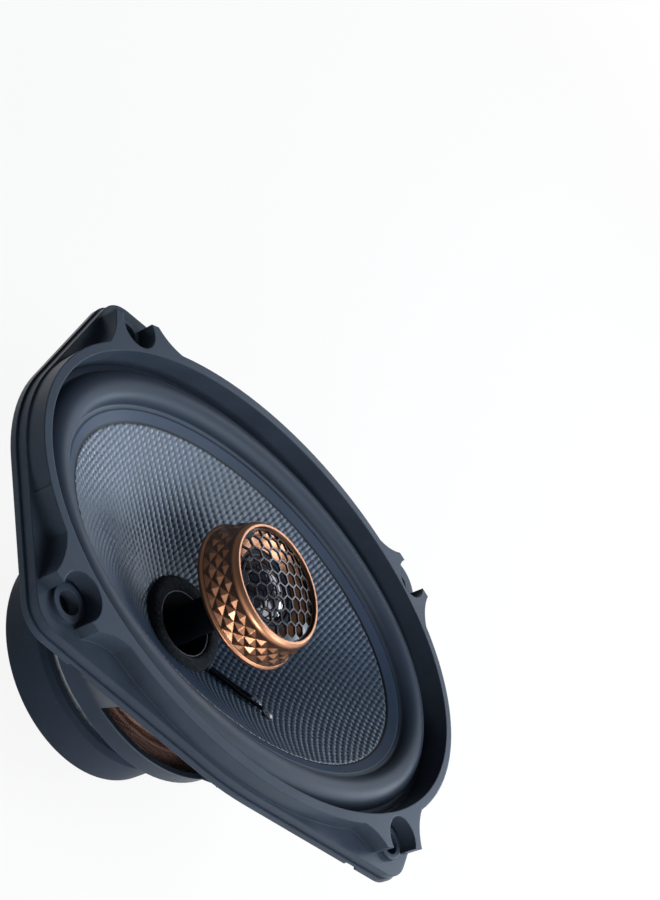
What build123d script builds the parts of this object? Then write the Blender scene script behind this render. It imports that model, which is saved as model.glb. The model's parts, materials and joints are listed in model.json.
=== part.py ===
from build123d import *
import math
import os

# Coaxial car speaker of the oval six by nine inch class, in millimetres.
# The speaker's axis is +Z and its front faces up. The long axis of the oval is X.
# The origin is the centre of the magnet's back face.

# ---- overall form -------------------------------------------------------------------
flange_length = 240.0  # tip to tip along X
flange_width = 162.0  # side to side along Y
end_radius = 54.0  # rounding of the flange's two ends
side_radius = 165.0  # bow of the flange's two long sides
side_bow = 30.0  # degrees of each bow, centred on the side
hole_spacing_x = 174.0  # screw to screw along X
hole_spacing_y = 123.0  # screw to screw along Y
screw_hole_radius = 2.75
lug_radius = 13.0  # rounding of the flange about each screw

flange_back_z = 75.5  # the face that seats on the car's panel
flange_sheet = 2.5  # flange of the basket
rim_top_z = 89.5  # top of the raised rim

# ---- motor stack --------------------------------------------------------------------
back_plate_thickness = 6.0
magnet_thickness = 10.0
top_plate_thickness = 5.0
back_plate_radius = 43.5
magnet_radius = 45.0
magnet_bore_radius = 22.0
top_plate_radius = 43.8
pole_radius = 12.2
pole_rise = 1.0  # pole above the top plate
boot_wall = 2.8
boot_lip = 1.2
boot_round = 2.0
seat_gap = 0.2  # play between stacked motor parts and their cover

former_inner_radius = 12.85
former_wall = 0.4
coil_build = 0.85  # radial thickness of the winding
coil_length = 12.0
magnetic_gap = 0.65  # winding to top plate

# ---- basket -------------------------------------------------------------------------
basket_sheet = 2.0
basket_seat_inner_radius = 24.0
basket_seat_outer_radius = 46.0
basket_flare_height = 8.0
basket_cup_radius = 57.5
basket_ledge_z = 33.0
basket_ledge_width = 6.5
basket_cup_top_z = 38.0
bowl_mouth_x = 111.5
bowl_mouth_y = 71.5
flange_mouth_lip = 1.0  # how far the flange reaches inside the bowl's mouth
window_floor_z = 39.5
window_top_z = 69.0
spoke_width = 12.0
spoke_angles = (0, 56, 124, 180, 236, 304)
clip_slot_spacing = 146.0  # along the flange's long sides
clip_slot_length = 6.0
clip_slot_depth = 1.4

# ---- trim ring ----------------------------------------------------------------------
trim_inset = 0.8
pocket_floor_z = 82.0
rim_outer_x = 118.5
rim_outer_y = 79.0
rim_inner_x = 115.0
rim_inner_y = 75.0
web_inset = 1.4  # webs inside the flange's outline
screw_pocket_radius = 8.4
screw_boss_radius = 6.6
screw_boss_rise = 1.5
screw_recess_radius = 4.3  # clears the head of the screw
# Points of the web about a screw, from the screw: out along X, then out along Y.
web_side_root = (22.0, -30.0)
web_side_hollow = (11.0, -15.0)
web_side_tip = (12.5, -1.5)
web_top_tip = (-9.0, 8.0)
web_top_hollow = (-20.0, 5.0)
web_top_root = (-35.0, 9.5)

# ---- cone and surround --------------------------------------------------------------
roll_path_x = 104.3  # ellipse under the middle of the roll
roll_path_y = 64.8
roll_half_width = 6.2
roll_height = 6.0
roll_sheet = 0.9
roll_foot = 3.2
cone_gap = 0.3
cone_edge_z = 78.4
weave_edge_x = 91.0
weave_edge_y = 53.0
weave_edge_z = 75.0
neck_z = 41.0
cone_sheet = 1.1
skin_sheet = 0.5
collar_radius = 19.6
collar_top_z = 48.0
collar_round = 2.4
former_top_z = 46.6

# ---- spider -------------------------------------------------------------------------
spider_sheet = 0.8
spider_wave = 1.5
spider_rolls = 5

# ---- tweeter pod --------------------------------------------------------------------
pod_base_z = 77.0
pod_base_radius = 28.5
pod_foot_radius = 27.7
pod_shoulder_radius = 25.0
pod_lip_radius = 23.7
pod_mouth_radius = 22.4
pod_base_height = 2.2
pod_shoulder_rise = 12.4  # above the pod's base
pod_rise = 15.4  # lip above the pod's base
pod_wall = 2.2
pod_lip_round = 0.4
pod_lip_bulge = 0.3
base_round = 0.8
facet_columns = 24  # pyramids round the pod
facet_rows = 4  # half pyramids from its foot to its shoulder
facet_depth = 0.9
post_radius = 7.0
post_head_radius = 14.0
post_head_height = 3.0
post_spigot_radius = 5.0
bolt_radius = 2.5
bolt_clearance = 0.2
bolt_head_radius = 4.3
bolt_head_height = 3.4
bolt_engagement = 14.0

dome_radius = 12.4
dome_height = 3.8
dome_sheet = 0.4
tweeter_gap = 0.4
running_play = 0.1  # coil outside the foot of the dome
cup_radius = 14.0
cup_flange_radius = 17.0
tweeter_magnet_radius = 10.0
tweeter_magnet_height = 2.8
tweeter_plate_height = 1.8
cup_floor = 1.6
cup_height = 6.2
cup_flange_sheet = 1.2
tweeter_coil_wall = 0.5
dome_lift = 1.0  # foot of the dome above the cup
edge_sheet = 0.4  # flexible edge of the dome
edge_land = 1.6  # flat of that edge outside the cup's body
edge_roll = 1.4  # height of its roll
funnel_rise = 4.9
funnel_sheet = 1.2
guard_sheet = 0.8
guard_crown = 3.2
guard_rim = 1.0
guard_cell = 4.9  # across the flats of one hexagonal cell
guard_wire = 0.6

# ---- leads on the cone --------------------------------------------------------------
lead_radius = 0.75
lead_lift = 0.1  # play between a lead and the woven skin
eyelet_bore_radius = 0.6
eyelet_shank_radius = 1.2
eyelet_head_radius = 2.2
eyelet_head_height = 0.6
eyelet_play = 0.2  # slack of the sheets under the eyelet's head
lead_bend_radius = 3.0
eyelet_places = ((33.6, -20.2), (36.4, -25.6))
lead_bends = ((25.0, -16.4), (26.2, -20.4))

# ---- rivets -------------------------------------------------------------------------
plate_rivet_circle_radius = 34.0
plate_rivet_count = 4
plate_rivet_turn = 45.0  # degrees from +X to the first rivet
plate_rivet_radius = 2.2
plate_rivet_head_radius = 4.0
plate_rivet_head_height = 1.4
board_rivet_radius = 1.3
board_rivet_head_radius = 2.3
board_rivet_head_height = 0.8
board_rivet_spacing = 18.0

# ---- terminals ----------------------------------------------------------------------
terminal_angle = -32.0
board_margin = 4.0  # rivets to the board's sides
board_height = 20.0
board_sheet = 1.6
board_pad_reach = 2.2
blade_length = 12.0
blade_sheet = 0.8
blade_spacing = 12.0
blade_foot = 6.0
blade_edge_margin = 5.0  # middle of a blade's foot to the board's top edge
positive_blade_width = 6.3
negative_blade_width = 4.8
capacitor_radius = 4.5
capacitor_play = 1.4  # its ends clear of the rivets' heads
capacitor_round = 0.8

# ---- sizes that follow --------------------------------------------------------------
magnet_z = back_plate_thickness
top_plate_z = magnet_z + magnet_thickness
basket_z = top_plate_z + top_plate_thickness
boot_inner_radius = magnet_radius + seat_gap
boot_radius = boot_inner_radius + boot_wall
former_outer_radius = former_inner_radius + former_wall
coil_outer_radius = former_outer_radius + coil_build
top_plate_bore_radius = coil_outer_radius + magnetic_gap
coil_z = top_plate_z + top_plate_thickness / 2 - coil_length / 2
pole_top_z = basket_z + pole_rise
flange_top_z = flange_back_z + flange_sheet
roll_inner_x = roll_path_x - roll_half_width
roll_inner_y = roll_path_y - roll_half_width
cone_edge_x = roll_inner_x - cone_gap
cone_edge_y = roll_inner_y - cone_gap
pod_floor_z = pod_base_z + pod_base_height
pod_shoulder_z = pod_base_z + pod_shoulder_rise
pod_top_z = pod_base_z + pod_rise
board_width = board_rivet_spacing + 2 * board_margin
capacitor_length = board_rivet_spacing - 2 * board_rivet_head_radius - capacitor_play

lug_x = hole_spacing_x / 2
lug_y = hole_spacing_y / 2

parts = []


def finish(builder, name):
    builder.part.label = name
    parts.append((name, builder.part))


def add_flange_outline(inset, mode=Mode.ADD):
    # Hull of the two end roundings, the two bowed sides and the four screw lugs.
    with BuildLine() as roundings:
        for side in (-1, 1):
            CenterArc((side * (flange_length / 2 - end_radius), 0), end_radius - inset, 0, 360)
            bow_centre = (0, side * (flange_width / 2 - side_radius))
            CenterArc(bow_centre, side_radius - inset, side * 90 - side_bow / 2, side_bow)
            for end in (-1, 1):
                CenterArc((side * lug_x, end * lug_y), lug_radius - inset, 0, 360)
    make_hull(roundings.edges(), mode=mode)


def add_screw_holes(radius):
    with GridLocations(hole_spacing_x, hole_spacing_y, 2, 2):
        Circle(radius, mode=Mode.SUBTRACT)


def add_cone_fill(lift, mode):
    # Solid under the cone's face: round at the neck, oval at the weave's edge and at the rim.
    with BuildSketch(Plane.XY.offset(neck_z + lift)) as neck:
        Circle(former_outer_radius)
    with BuildSketch(Plane.XY.offset(weave_edge_z + lift)) as weave_edge:
        Ellipse(weave_edge_x, weave_edge_y)
    with BuildSketch(Plane.XY.offset(cone_edge_z + lift)) as cone_edge:
        Ellipse(cone_edge_x, cone_edge_y)
    loft([neck.sketch, weave_edge.sketch, cone_edge.sketch], ruled=True, mode=mode)


def add_lug_web(end, side):
    # Rim about one screw: a web from the rim out to two tips, one each side of the screw.
    def place(point):
        return (end * (lug_x + point[0]), side * (lug_y + point[1]))

    with BuildLine() as web:
        ThreePointArc(place(web_side_root), place(web_side_hollow), place(web_side_tip))
        Line(place(web_side_tip), place(web_top_tip))
        ThreePointArc(place(web_top_tip), place(web_top_hollow), place(web_top_root))
        Polyline(place(web_top_root), (0, 0), place(web_side_root))
    make_face(web.edges())


def cone_face(x, y, lift):
    # Point on the cone's face above (x, y), and the face's outward normal there.
    def height(px, py):
        low, high = 0.0, 1.0
        while high - low > 1e-7:
            share = (low + high) / 2
            across = former_outer_radius + share * (weave_edge_x - former_outer_radius)
            along = former_outer_radius + share * (weave_edge_y - former_outer_radius)
            if math.hypot(px / across, py / along) > 1:
                low = share
            else:
                high = share
        return neck_z + low * (weave_edge_z - neck_z)

    step = 0.01
    slope_x = (height(x + step, y) - height(x - step, y)) / (2 * step)
    slope_y = (height(x, y + step) - height(x, y - step)) / (2 * step)
    normal = Vector(-slope_x, -slope_y, 1).normalized()
    return Vector(x, y, height(x, y) + lift), normal


def add_ring(inner, outer, low, high):
    with BuildSketch(Plane.XY.offset(low)) as ring:
        Circle(outer)
        Circle(inner, mode=Mode.SUBTRACT)
    extrude(ring.sketch, amount=high - low)


def add_turned(points):
    # Revolves a profile of (radius, height) points about the speaker's axis.
    with BuildSketch(Plane.XZ) as profile:
        Polygon(*points, align=None)
    revolve(profile.sketch, axis=Axis.Z)


# ---- magnet system ------------------------------------------------------------------
with BuildPart() as back_plate:
    with BuildSketch():
        Circle(back_plate_radius)
    extrude(amount=back_plate_thickness)
    with BuildSketch():
        Circle(pole_radius)
    extrude(amount=pole_top_z)
    with Locations((0, 0, 0)):
        Hole(bolt_radius + bolt_clearance)
    with BuildSketch():
        Circle(bolt_head_radius + 2 * bolt_clearance)
    extrude(amount=bolt_head_height + bolt_clearance, mode=Mode.SUBTRACT)
finish(back_plate, "back_plate")

with BuildPart() as ferrite_magnet:
    add_ring(magnet_bore_radius, magnet_radius, magnet_z, top_plate_z)
finish(ferrite_magnet, "ferrite_magnet")

with BuildPart() as top_plate:
    add_ring(top_plate_bore_radius, top_plate_radius, top_plate_z, basket_z)
    with Locations((0, 0, basket_z)):
        with PolarLocations(plate_rivet_circle_radius, plate_rivet_count, start_angle=plate_rivet_turn):
            Hole(plate_rivet_radius)
finish(top_plate, "top_plate")

boot_front_z = top_plate_z + boot_lip
with BuildPart() as magnet_boot:
    add_turned(
        [
            (back_plate_radius + seat_gap, 0),
            (boot_radius, 0),
            (boot_radius, boot_front_z - boot_round),
            (boot_radius - boot_round, boot_front_z),
            (top_plate_radius + seat_gap, boot_front_z),
            (top_plate_radius + seat_gap, top_plate_z),
            (boot_inner_radius, top_plate_z),
            (boot_inner_radius, boot_lip),
            (back_plate_radius + seat_gap, boot_lip),
        ]
    )
finish(magnet_boot, "magnet_boot")

# ---- voice coil ---------------------------------------------------------------------
with BuildPart() as voice_coil_former:
    add_ring(former_inner_radius, former_outer_radius, coil_z - former_wall, former_top_z)
finish(voice_coil_former, "voice_coil_former")

with BuildPart() as voice_coil:
    add_ring(former_outer_radius, coil_outer_radius, coil_z, coil_z + coil_length)
finish(voice_coil, "voice_coil")

# ---- basket -------------------------------------------------------------------------
flare_radius = basket_seat_outer_radius + basket_flare_height
flare_z = basket_z + basket_flare_height
inner_flare_shift = basket_sheet * (math.sqrt(2) - 1)
cup_inner_radius = basket_cup_radius - basket_sheet
ledge_inner_radius = cup_inner_radius - basket_ledge_width
ledge_under_z = basket_ledge_z - basket_sheet
seat_top_z = basket_z + basket_sheet
inner_seat_radius = basket_seat_outer_radius - inner_flare_shift
lip_x = bowl_mouth_x - flange_mouth_lip
lip_y = bowl_mouth_y - flange_mouth_lip

terminal_plane = Plane(
    origin=(
        basket_cup_radius * math.cos(math.radians(terminal_angle)),
        basket_cup_radius * math.sin(math.radians(terminal_angle)),
        basket_cup_top_z,
    ),
    x_dir=(
        -math.sin(math.radians(terminal_angle)),
        math.cos(math.radians(terminal_angle)),
        0,
    ),
    z_dir=(
        math.cos(math.radians(terminal_angle)),
        math.sin(math.radians(terminal_angle)),
        0,
    ),
)
pad_height = basket_cup_top_z - basket_ledge_z + basket_sheet

with BuildPart() as basket:
    add_turned(
        [
            (basket_seat_inner_radius, basket_z),
            (basket_seat_outer_radius, basket_z),
            (flare_radius, flare_z),
            (basket_cup_radius, flare_z + basket_sheet),
            (basket_cup_radius, basket_cup_top_z),
            (cup_inner_radius, basket_cup_top_z),
            (cup_inner_radius, basket_ledge_z),
            (ledge_inner_radius, basket_ledge_z),
            (ledge_inner_radius, ledge_under_z),
            (inner_seat_radius + ledge_under_z - seat_top_z, ledge_under_z),
            (inner_seat_radius, seat_top_z),
            (basket_seat_inner_radius, seat_top_z),
        ]
    )
    with BuildSketch(Plane.XY.offset(basket_cup_top_z)):
        Circle(basket_cup_radius)
    with BuildSketch(Plane.XY.offset(flange_back_z)):
        Ellipse(bowl_mouth_x + basket_sheet, bowl_mouth_y + basket_sheet)
    loft(ruled=True)
    with BuildSketch(Plane.XY.offset(basket_cup_top_z)):
        Circle(cup_inner_radius)
    with BuildSketch(Plane.XY.offset(flange_back_z)):
        Ellipse(bowl_mouth_x, bowl_mouth_y)
    loft(ruled=True, mode=Mode.SUBTRACT)
    with BuildSketch(Plane.XY.offset(flange_back_z)):
        add_flange_outline(0)
        Ellipse(lip_x, lip_y, mode=Mode.SUBTRACT)
        add_screw_holes(screw_hole_radius)
    extrude(amount=flange_sheet)
    with BuildSketch(Plane.XY.offset(flange_back_z)):
        add_flange_outline(0)
        add_flange_outline(clip_slot_depth, Mode.SUBTRACT)
        with GridLocations(clip_slot_spacing, 0, 2, 1):
            Rectangle(clip_slot_length, 2 * flange_width, mode=Mode.INTERSECT)
    extrude(amount=flange_sheet / 2, mode=Mode.SUBTRACT)
    with BuildSketch(Plane.XY.offset(window_floor_z)):
        Circle(flange_length)
        for spoke_angle in spoke_angles:
            with Locations(Location((0, 0, 0), (0, 0, spoke_angle))):
                Rectangle(
                    2 * flange_length,
                    spoke_width,
                    align=(Align.MIN, Align.CENTER),
                    mode=Mode.SUBTRACT,
                )
    extrude(amount=window_top_z - window_floor_z, mode=Mode.SUBTRACT)
    with BuildSketch(terminal_plane.offset(-basket_sheet / 2)):
        Rectangle(board_width - basket_sheet, pad_height, align=(Align.CENTER, Align.MAX))
    extrude(amount=board_pad_reach + basket_sheet / 2)
    with Locations((0, 0, seat_top_z)):
        with PolarLocations(plate_rivet_circle_radius, plate_rivet_count, start_angle=plate_rivet_turn):
            Hole(plate_rivet_radius, depth=basket_sheet)
    with BuildSketch(terminal_plane.offset(board_pad_reach)):
        with Locations((0, -pad_height / 2)):
            with GridLocations(board_rivet_spacing, 0, 2, 1):
                Circle(board_rivet_radius)
    extrude(amount=-board_pad_reach, mode=Mode.SUBTRACT)
finish(basket, "basket")

with BuildPart() as plate_rivets:
    with BuildSketch(Plane.XY.offset(top_plate_z + seat_gap)):
        with PolarLocations(plate_rivet_circle_radius, plate_rivet_count, start_angle=plate_rivet_turn):
            Circle(plate_rivet_radius)
    extrude(amount=seat_top_z - top_plate_z - seat_gap)
    with BuildSketch(Plane.XY.offset(seat_top_z)):
        with PolarLocations(plate_rivet_circle_radius, plate_rivet_count, start_angle=plate_rivet_turn):
            Circle(plate_rivet_head_radius)
    extrude(amount=plate_rivet_head_height)
finish(plate_rivets, "plate_rivets")

# ---- trim ring ----------------------------------------------------------------------
with BuildPart() as trim_ring:
    with BuildSketch(Plane.XY.offset(flange_top_z)):
        add_flange_outline(trim_inset)
        Ellipse(rim_inner_x, rim_inner_y, mode=Mode.SUBTRACT)
    extrude(amount=pocket_floor_z - flange_top_z)
    with BuildSketch(Plane.XY.offset(pocket_floor_z)):
        for end in (-1, 1):
            for side in (-1, 1):
                add_lug_web(end, side)
        add_flange_outline(web_inset, Mode.INTERSECT)
        Ellipse(rim_outer_x, rim_outer_y)
        Ellipse(rim_inner_x, rim_inner_y, mode=Mode.SUBTRACT)
        add_screw_holes(screw_pocket_radius)
    extrude(amount=rim_top_z - pocket_floor_z)
    with BuildSketch(Plane.XY.offset(pocket_floor_z)):
        with GridLocations(hole_spacing_x, hole_spacing_y, 2, 2):
            Circle(screw_boss_radius)
    extrude(amount=screw_boss_rise)
    with Locations((0, 0, flange_top_z)):
        with GridLocations(hole_spacing_x, hole_spacing_y, 2, 2):
            Hole(screw_recess_radius)
finish(trim_ring, "trim_ring")

# ---- surround -----------------------------------------------------------------------
def add_roll_profile():
    # Half roll with a foot outside it, seen from the path: +X points out of the oval.
    outer = roll_half_width
    inner = roll_half_width - roll_sheet
    foot = roll_half_width + roll_foot
    with BuildLine() as roll:
        Line((-outer, 0), (-inner, 0))
        ThreePointArc((-inner, 0), (0, roll_height - roll_sheet), (inner, 0))
        Polyline((inner, 0), (foot, 0), (foot, roll_sheet), (outer, roll_sheet))
        ThreePointArc((outer, roll_sheet), (0, roll_height), (-outer, roll_sheet))
        Line((-outer, roll_sheet), (-outer, 0))
    make_face(roll.edges())


roll_plane = Plane(origin=(roll_path_x, 0, flange_top_z), x_dir=(1, 0, 0), z_dir=(0, -1, 0))
with BuildPart() as surround:
    with BuildLine(Plane.XY.offset(flange_top_z)) as roll_path:
        EllipticalCenterArc((0, 0), roll_path_x, roll_path_y, 0, arc_size=90)
    with BuildSketch(roll_plane):
        add_roll_profile()
    sweep(path=roll_path.wire())
    mirror(about=Plane.YZ)
    mirror(about=Plane.XZ)
finish(surround, "surround")

# ---- cone ---------------------------------------------------------------------------
def add_eyelet_stack(sections, mode):
    # Turned pieces at each eyelet, from (radius, low, high) measured along the normal from the skin.
    for x, y in eyelet_places:
        middle, normal = cone_face(x, y, cone_sheet + skin_sheet)
        for radius, low, high in sections:
            with BuildSketch(Plane(origin=middle + normal * low, z_dir=normal)) as disc:
                Circle(radius)
            extrude(disc.sketch, amount=high - low, mode=mode)


eyelet_depth = cone_sheet + skin_sheet + eyelet_play
with BuildPart() as cone:
    add_cone_fill(0, Mode.ADD)
    add_cone_fill(cone_sheet, Mode.SUBTRACT)
    with BuildSketch(Plane.XY.offset(neck_z - cone_sheet)):
        Circle(former_outer_radius)
    extrude(amount=4 * cone_sheet, mode=Mode.SUBTRACT)
    add_eyelet_stack([(eyelet_shank_radius, -2 * eyelet_depth, eyelet_depth)], Mode.SUBTRACT)
finish(cone, "cone")

with BuildPart() as cone_skin:
    add_cone_fill(cone_sheet, Mode.ADD)
    add_cone_fill(cone_sheet + skin_sheet, Mode.SUBTRACT)
    with BuildSketch(Plane.XY.offset(neck_z)):
        Ellipse(weave_edge_x, weave_edge_y)
        Circle(collar_radius, mode=Mode.SUBTRACT)
    extrude(amount=cone_edge_z - neck_z, mode=Mode.INTERSECT)
    add_eyelet_stack([(eyelet_shank_radius, -2 * eyelet_depth, eyelet_depth)], Mode.SUBTRACT)
finish(cone_skin, "cone_skin")

with BuildPart() as lead_eyelets:
    add_eyelet_stack(
        [
            (eyelet_head_radius, lead_lift, eyelet_head_height + lead_lift),
            (eyelet_shank_radius, -eyelet_depth, eyelet_head_height),
            (eyelet_head_radius, -eyelet_depth - eyelet_head_height, -eyelet_depth),
        ],
        Mode.ADD,
    )
    add_eyelet_stack([(eyelet_bore_radius, -3 * eyelet_depth, 3 * eyelet_depth)], Mode.SUBTRACT)
finish(lead_eyelets, "lead_eyelets")

with BuildPart() as lead_wires:
    for eyelet_place, lead_bend in zip(eyelet_places, lead_bends):
        eyelet, bend = Vector(*eyelet_place), Vector(*lead_bend)
        start = bend.normalized() * (collar_radius + lead_radius + lead_lift)
        end = eyelet + (bend - eyelet).normalized() * (eyelet_head_radius + lead_lift)
        route = []
        for place in (start, bend, end):
            middle, normal = cone_face(place.X, place.Y, cone_sheet + skin_sheet)
            route.append(middle + normal * (lead_radius + 2 * lead_lift))
        with BuildLine():
            lead_path = FilletPolyline(*route, radius=lead_bend_radius)
        with BuildSketch(Plane(origin=lead_path @ 0, z_dir=lead_path % 0)):
            Circle(lead_radius)
        sweep(path=lead_path)
finish(lead_wires, "lead_wires")

with BuildPart() as neck_collar:
    add_ring(former_outer_radius, collar_radius, neck_z, collar_top_z)
    fillet(neck_collar.edges().group_by(Axis.Z)[-1], collar_round)
    add_cone_fill(cone_sheet, Mode.INTERSECT)
finish(neck_collar, "neck_collar")

# ---- spider -------------------------------------------------------------------------
spider_inner_radius = former_outer_radius + cone_gap
spider_span = ledge_inner_radius - spider_inner_radius
with BuildPart() as spider:
    with BuildSketch(Plane.XZ):
        with BuildLine():
            steps = 4 * spider_rolls
            low = [(cup_inner_radius - seat_gap, basket_ledge_z)]
            for i in range(steps + 1):
                radius = ledge_inner_radius - spider_span * i / steps
                swing = math.sin(2 * math.pi * i * spider_rolls / steps)
                low.append((radius, basket_ledge_z + spider_wave * swing))
            high = [(radius, height + spider_sheet) for radius, height in reversed(low)]
            Polyline(*low, *high, close=True)
        make_face()
    revolve(axis=Axis.Z)
finish(spider, "spider")

# ---- tweeter post -------------------------------------------------------------------
with BuildPart() as tweeter_post:
    add_turned(
        [
            (0, pole_top_z),
            (post_radius, pole_top_z),
            (post_radius, pod_base_z - post_head_height - post_head_radius + post_radius),
            (post_head_radius, pod_base_z - post_head_height),
            (post_head_radius, pod_base_z),
            (post_spigot_radius, pod_base_z),
            (post_spigot_radius, pod_floor_z),
            (0, pod_floor_z),
        ]
    )
    with BuildSketch(Plane.XY.offset(pole_top_z)):
        Circle(bolt_radius)
    extrude(amount=bolt_engagement, mode=Mode.SUBTRACT)
finish(tweeter_post, "tweeter_post")

with BuildPart() as post_bolt:
    with BuildSketch(Plane.XY.offset(bolt_clearance)):
        Circle(bolt_head_radius)
    extrude(amount=bolt_head_height)
    with BuildSketch(Plane.XY.offset(bolt_head_height)):
        Circle(bolt_radius)
    extrude(amount=pole_top_z + bolt_engagement - bolt_head_height)
    with BuildSketch(Plane.XY.offset(bolt_clearance)):
        RegularPolygon(bolt_radius, 6)
    extrude(amount=bolt_head_height / 2, mode=Mode.SUBTRACT)
finish(post_bolt, "post_bolt")

# ---- tweeter pod --------------------------------------------------------------------
pod_inner_foot = pod_foot_radius - pod_wall
pod_inner_shoulder = pod_shoulder_radius - pod_wall


def facet_point(column, row):
    # Corner of the pod's faceted band. Half columns run round it and half rows run up it.
    # Corners are raised and sunk by turns, so that each raised one tops a four-sided pyramid.
    share = row / facet_rows
    angle = math.pi * column / facet_columns
    radius = pod_foot_radius + share * (pod_shoulder_radius - pod_foot_radius)
    if 0 < row < facet_rows:
        radius += facet_depth / 2 if (column + row) % 2 else -facet_depth / 2
    height = pod_floor_z + share * (pod_shoulder_z - pod_floor_z)
    return Vector(radius * math.cos(angle), radius * math.sin(angle), height)


def facet_faces():
    # Closed skin of the faceted band: two triangles to each half cell, and a flat at each end.
    half_columns = 2 * facet_columns
    outlines = [[facet_point(column, row) for column in range(half_columns)] for row in (0, facet_rows)]
    for column in range(half_columns):
        for row in range(facet_rows):
            turn = (column + row) % 2
            sunk = facet_point(column + turn, row)
            sunk_across = facet_point(column + 1 - turn, row + 1)
            raised = facet_point(column + 1 - turn, row)
            raised_across = facet_point(column + turn, row + 1)
            outlines.append([sunk, raised, sunk_across])
            outlines.append([sunk, sunk_across, raised_across])
    return [Face(Wire.make_polygon(outline)) for outline in outlines]


with BuildPart() as pod_shell:
    add(Solid(Shell(facet_faces())))
    with BuildSketch(Plane.XZ) as lip_profile:
        with BuildLine() as lip_outline:
            ThreePointArc(
                (pod_shoulder_radius, pod_shoulder_z),
                (
                    (pod_shoulder_radius + pod_lip_radius) / 2 + pod_lip_bulge,
                    (pod_shoulder_z + pod_top_z) / 2,
                ),
                (pod_lip_radius, pod_top_z - pod_lip_round),
            )
            Polyline(
                (pod_lip_radius, pod_top_z - pod_lip_round),
                (pod_lip_radius - pod_lip_round, pod_top_z),
                (0, pod_top_z),
                (0, pod_shoulder_z),
                (pod_shoulder_radius, pod_shoulder_z),
            )
        make_face()
    revolve(lip_profile.sketch, axis=Axis.Z)
    with BuildSketch(Plane.XZ) as bore_profile:
        Polygon(
            (0, pod_floor_z),
            (pod_inner_foot, pod_floor_z),
            (pod_inner_shoulder, pod_shoulder_z - pod_lip_round),
            (pod_mouth_radius, pod_shoulder_z),
            (pod_mouth_radius, pod_top_z),
            (0, pod_top_z),
            align=None,
        )
    revolve(bore_profile.sketch, axis=Axis.Z, mode=Mode.SUBTRACT)
finish(pod_shell, "pod_shell")

pod_back_radius = pod_inner_foot - pod_wall
with BuildPart() as pod_base_ring:
    add_turned(
        [
            (pod_back_radius, pod_base_z),
            (pod_base_radius - base_round / 2, pod_base_z),
            (pod_base_radius, pod_base_z + base_round / 2),
            (pod_base_radius, pod_floor_z - base_round),
            (pod_base_radius - base_round, pod_floor_z),
            (pod_back_radius, pod_floor_z),
        ]
    )
finish(pod_base_ring, "pod_base_ring")

with BuildPart() as pod_back:
    add_ring(post_spigot_radius, pod_back_radius, pod_base_z, pod_floor_z)
finish(pod_back, "pod_back")

# ---- tweeter motor and dome ---------------------------------------------------------
tweeter_coil_outer = dome_radius + running_play
tweeter_coil_inner = tweeter_coil_outer - tweeter_coil_wall
tweeter_plate_radius = tweeter_coil_inner - tweeter_gap
cup_inner = tweeter_coil_outer + tweeter_gap
cup_top_z = pod_floor_z + cup_height
tweeter_magnet_z = pod_floor_z + cup_floor
tweeter_plate_z = tweeter_magnet_z + tweeter_magnet_height
with BuildPart() as tweeter_cup:
    add_turned(
        [
            (0, pod_floor_z),
            (cup_radius, pod_floor_z),
            (cup_radius, cup_top_z - cup_flange_sheet),
            (cup_flange_radius, cup_top_z - cup_flange_sheet),
            (cup_flange_radius, cup_top_z),
            (cup_inner, cup_top_z),
            (cup_inner, tweeter_magnet_z),
            (0, tweeter_magnet_z),
        ]
    )
finish(tweeter_cup, "tweeter_cup")

with BuildPart() as tweeter_magnet:
    with BuildSketch(Plane.XY.offset(tweeter_magnet_z)):
        Circle(tweeter_magnet_radius)
    extrude(amount=tweeter_magnet_height)
finish(tweeter_magnet, "tweeter_magnet")

with BuildPart() as tweeter_plate:
    with BuildSketch(Plane.XY.offset(tweeter_plate_z)):
        Circle(tweeter_plate_radius)
    extrude(amount=tweeter_plate_height)
finish(tweeter_plate, "tweeter_plate")

dome_z = cup_top_z + dome_lift
dome_sphere = (dome_radius**2 + dome_height**2) / (2 * dome_height)
with BuildPart() as tweeter_dome:
    with BuildSketch(Plane.XZ):
        with BuildLine():
            middle = math.asin(dome_radius / dome_sphere) / 2
            top = dome_z + dome_height
            centre = top - dome_sphere
            under = dome_sphere - dome_sheet
            foot_in = dome_radius - dome_sheet
            foot_z = centre + math.sqrt(under**2 - foot_in**2)
            ThreePointArc(
                (0, top),
                (dome_sphere * math.sin(middle), centre + dome_sphere * math.cos(middle)),
                (dome_radius, dome_z),
            )
            Line((dome_radius, dome_z), (foot_in, foot_z))
            ThreePointArc(
                (foot_in, foot_z),
                (under * math.sin(middle), centre + under * math.cos(middle)),
                (0, top - dome_sheet),
            )
            Line((0, top - dome_sheet), (0, top))
        make_face()
    revolve(axis=Axis.Z)
finish(tweeter_dome, "tweeter_dome")

tweeter_coil_z = tweeter_plate_z - tweeter_coil_wall
with BuildPart() as tweeter_coil:
    add_ring(tweeter_coil_inner, tweeter_coil_outer, tweeter_coil_z, foot_z)
finish(tweeter_coil, "tweeter_coil")

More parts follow.
